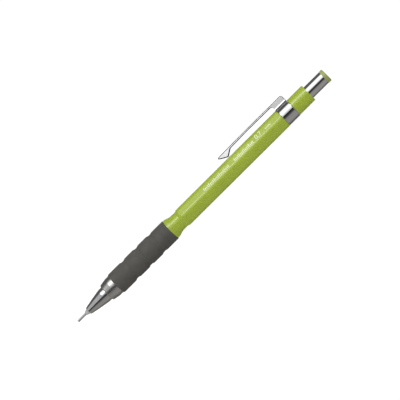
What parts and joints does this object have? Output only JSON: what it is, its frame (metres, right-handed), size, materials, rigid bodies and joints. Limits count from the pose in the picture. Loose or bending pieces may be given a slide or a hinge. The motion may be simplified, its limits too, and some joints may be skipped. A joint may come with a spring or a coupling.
{
  "type": "mechanical pencil",
  "caption": "Push-button mechanical pencil with a retracting sleeve, grooved rubber grip, hexagonal barrel, pocket clip and chrome button.",
  "frame": {"origin": "on the pencil's axis, at the mouth of the lead sleeve, where the lead comes out", "axes": "+Z runs along the pencil's axis from the sleeve's mouth to the push button. The clip is on the -X side. The hexagonal barrel has a flat under the clip and a corner towards -Y."},
  "size_m": [0.0124, 0.01, 0.145],
  "materials": {
    "green_plastic": "glossy moulded plastic, yellow-green",
    "grip_rubber": "matt black rubber",
    "chrome": "bright chrome plate",
    "clip_steel": "chrome-plated spring steel",
    "sleeve_steel": "drawn stainless steel",
    "grey_plastic": "satin light grey plastic",
    "retainer_rubber": "soft black rubber",
    "brass": "turned brass",
    "spring_steel": "bright spring wire",
    "white_plastic": "moulded natural white plastic",
    "tube_plastic": "extruded milky plastic",
    "eraser_rubber": "soft white eraser",
    "graphite": "polymer-bonded graphite, slight sheen"
  },
  "bodies": {
    "barrel": {"barrel": "green_plastic", "grip": "grip_rubber", "front_collar": "chrome", "rear_barrel": "green_plastic", "clip_band": "clip_steel", "chuck_housing": "white_plastic", "chuck_spring": "spring_steel"},
    "nose_thread": {"sleeve_stop_bush": "brass"},
    "nose": {"nose_cone": "chrome"},
    "sleeve": {"sleeve_holder": "grey_plastic", "lead_sleeve": "sleeve_steel", "lead_retainer": "retainer_rubber"},
    "lead_tube": {"chuck_base": "brass", "tube_connector": "white_plastic", "lead_tube": "tube_plastic", "eraser_holder": "white_plastic", "eraser": "eraser_rubber", "spare_leads": "graphite"},
    "clutch_ring": {"clutch_ring": "brass"},
    "lead": {"lead": "graphite"},
    "button": {"button_shell": "chrome", "button_cap": "green_plastic"},
    "clip_arm": {"clip_arm": "clip_steel"},
    "chuck_jaw_1": {"chuck_jaw_1": "brass"},
    "chuck_jaw_2": {"chuck_jaw_2": "brass"},
    "chuck_jaw_3": {"chuck_jaw_3": "brass"}
  },
  "joints": [
    {"name": "push", "type": "slide", "parent": "barrel", "child": "lead_tube", "axis": [0, 0, -1], "range_m": [0, 0.003], "stiffness_N_per_m": 300, "springref_m": -0.0001, "deforming": ["chuck_spring"]},
    {"name": "clutch_slide", "type": "slide", "parent": "barrel", "child": "clutch_ring", "axis": [0, 0, -1], "range_m": [0, 0.0008]},
    {"name": "lead_feed", "type": "slide", "parent": "clutch_ring", "child": "lead", "axis": [0, 0, -1], "range_m": [0, 0.036]},
    {"name": "button_pull", "type": "slide", "parent": "lead_tube", "child": "button", "axis": [0, 0, 1], "range_m": [0, 0.014]},
    {"name": "nose_unscrew_travel", "type": "slide", "parent": "barrel", "child": "nose_thread", "axis": [0, 0, -1], "range_m": [0, 0.0045]},
    {"name": "nose_unscrew", "type": "hinge", "parent": "nose_thread", "child": "nose", "pos_m": [0, 0, 0.018], "axis": [0, 0, -1], "range_deg": [0, 2160]},
    {"name": "sleeve_retract", "type": "slide", "parent": "nose", "child": "sleeve", "axis": [0, 0, 1], "range_m": [0, 0.0062]},
    {"name": "clip_flex", "type": "hinge", "parent": "barrel", "child": "clip_arm", "pos_m": [-0.0072, 0, 0.11975], "axis": [0, 1, 0], "range_deg": [0, 4], "stiffness_Nm_per_rad": 0.08},
    {"name": "jaw_1_open", "type": "hinge", "parent": "lead_tube", "child": "chuck_jaw_1", "pos_m": [0.0008, 0, 0.03292], "axis": [0, -1, 0], "range_deg": [0, 1.5]},
    {"name": "jaw_2_open", "type": "hinge", "parent": "lead_tube", "child": "chuck_jaw_2", "pos_m": [-0.0004, 0.00069, 0.03292], "axis": [0.866, 0.5, 0], "range_deg": [0, 1.5]},
    {"name": "jaw_3_open", "type": "hinge", "parent": "lead_tube", "child": "chuck_jaw_3", "pos_m": [-0.0004, -0.00069, 0.03292], "axis": [-0.866, 0.5, 0], "range_deg": [0, 1.5]}
  ],
  "couplings": [
    {"joint": "clutch_slide", "follows": "push", "ratio": 0.26667},
    {"joint": "jaw_1_open", "follows": "push", "rad_per_m": 8.7258},
    {"joint": "jaw_2_open", "follows": "push", "rad_per_m": 8.7258},
    {"joint": "jaw_3_open", "follows": "push", "rad_per_m": 8.7258},
    {"joint": "nose_unscrew", "follows": "nose_unscrew_travel", "rad_per_m": 8377.5}
  ]
}
